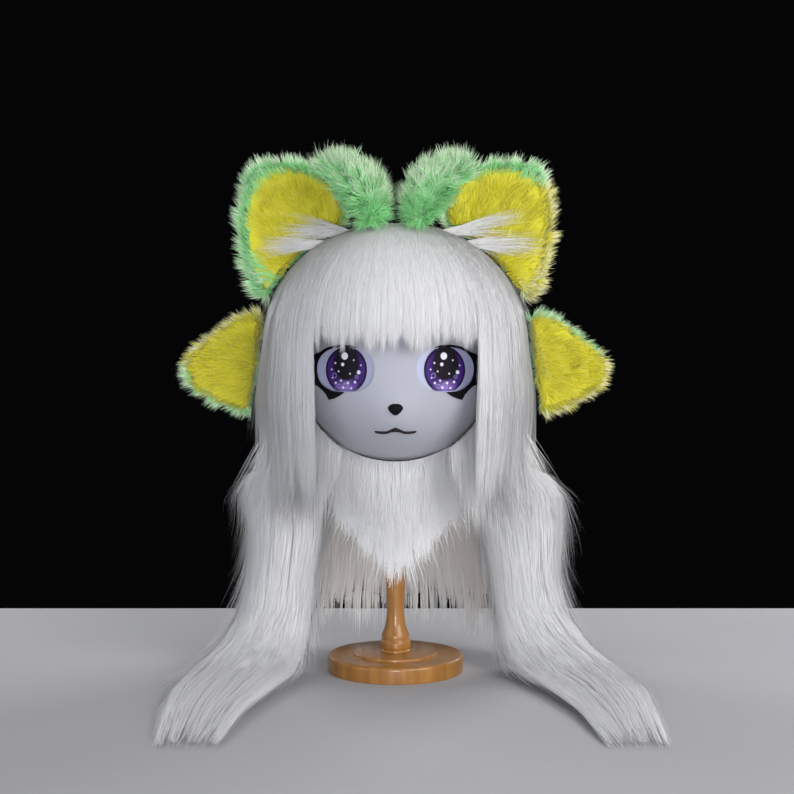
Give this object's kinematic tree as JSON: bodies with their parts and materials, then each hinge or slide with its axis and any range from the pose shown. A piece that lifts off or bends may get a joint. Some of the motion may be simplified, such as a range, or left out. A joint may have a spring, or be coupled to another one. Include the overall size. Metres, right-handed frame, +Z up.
{
  "type": "fursuit head on wooden stand",
  "caption": "Hollow costume head with a hard face, cat-like ears, a green crest and long white fur that falls to the floor, resting on a turned wooden stand.",
  "frame": {"origin": "centre of the stand's foot, on the surface it stands on", "axes": "+Z up, the face looks along -Y, +X to the right as seen from the front"},
  "size_m": [0.5257, 0.4977, 0.6105],
  "materials": {
    "varnished_wood": "satin varnish over honey-brown wood",
    "foam": "matt open foam",
    "face_skin": "fine matt fabric skin over a hard shell",
    "eye_white": "smooth printed mesh",
    "iris_print": "glossy print",
    "black_trim": "satin black",
    "mouth_print": "matt paint",
    "brow_print": "matt paint",
    "white_fur": "long straight pile, soft sheen",
    "green_fur": "dense plush pile, pale tips",
    "yellow_fur": "dense plush pile"
  },
  "bodies": {
    "root": {"stand_base": "varnished_wood", "stand_post": "varnished_wood", "head_base": "foam", "face_shell": "face_skin", "eye_left": "eye_white", "eye_right": "eye_white", "iris_left": "iris_print", "iris_right": "iris_print", "lash_left": "black_trim", "lash_right": "black_trim", "brow_left": "brow_print", "brow_right": "brow_print", "nose": "black_trim", "mouth_line": "mouth_print", "head_hair": "white_fur", "neck_fur": "white_fur", "back_hair": "white_fur", "long_fall_left": "white_fur", "long_fall_right": "white_fur", "upper_ear_left": "green_fur", "upper_ear_right": "green_fur", "upper_ear_lining_left": "yellow_fur", "upper_ear_lining_right": "yellow_fur", "lower_ear_left": "green_fur", "lower_ear_right": "green_fur", "lower_ear_lining_left": "yellow_fur", "lower_ear_lining_right": "yellow_fur", "ear_tuft_left": "white_fur", "ear_tuft_right": "white_fur", "crest_puff_left": "green_fur", "crest_puff_right": "green_fur"}
  },
  "joints": []
}
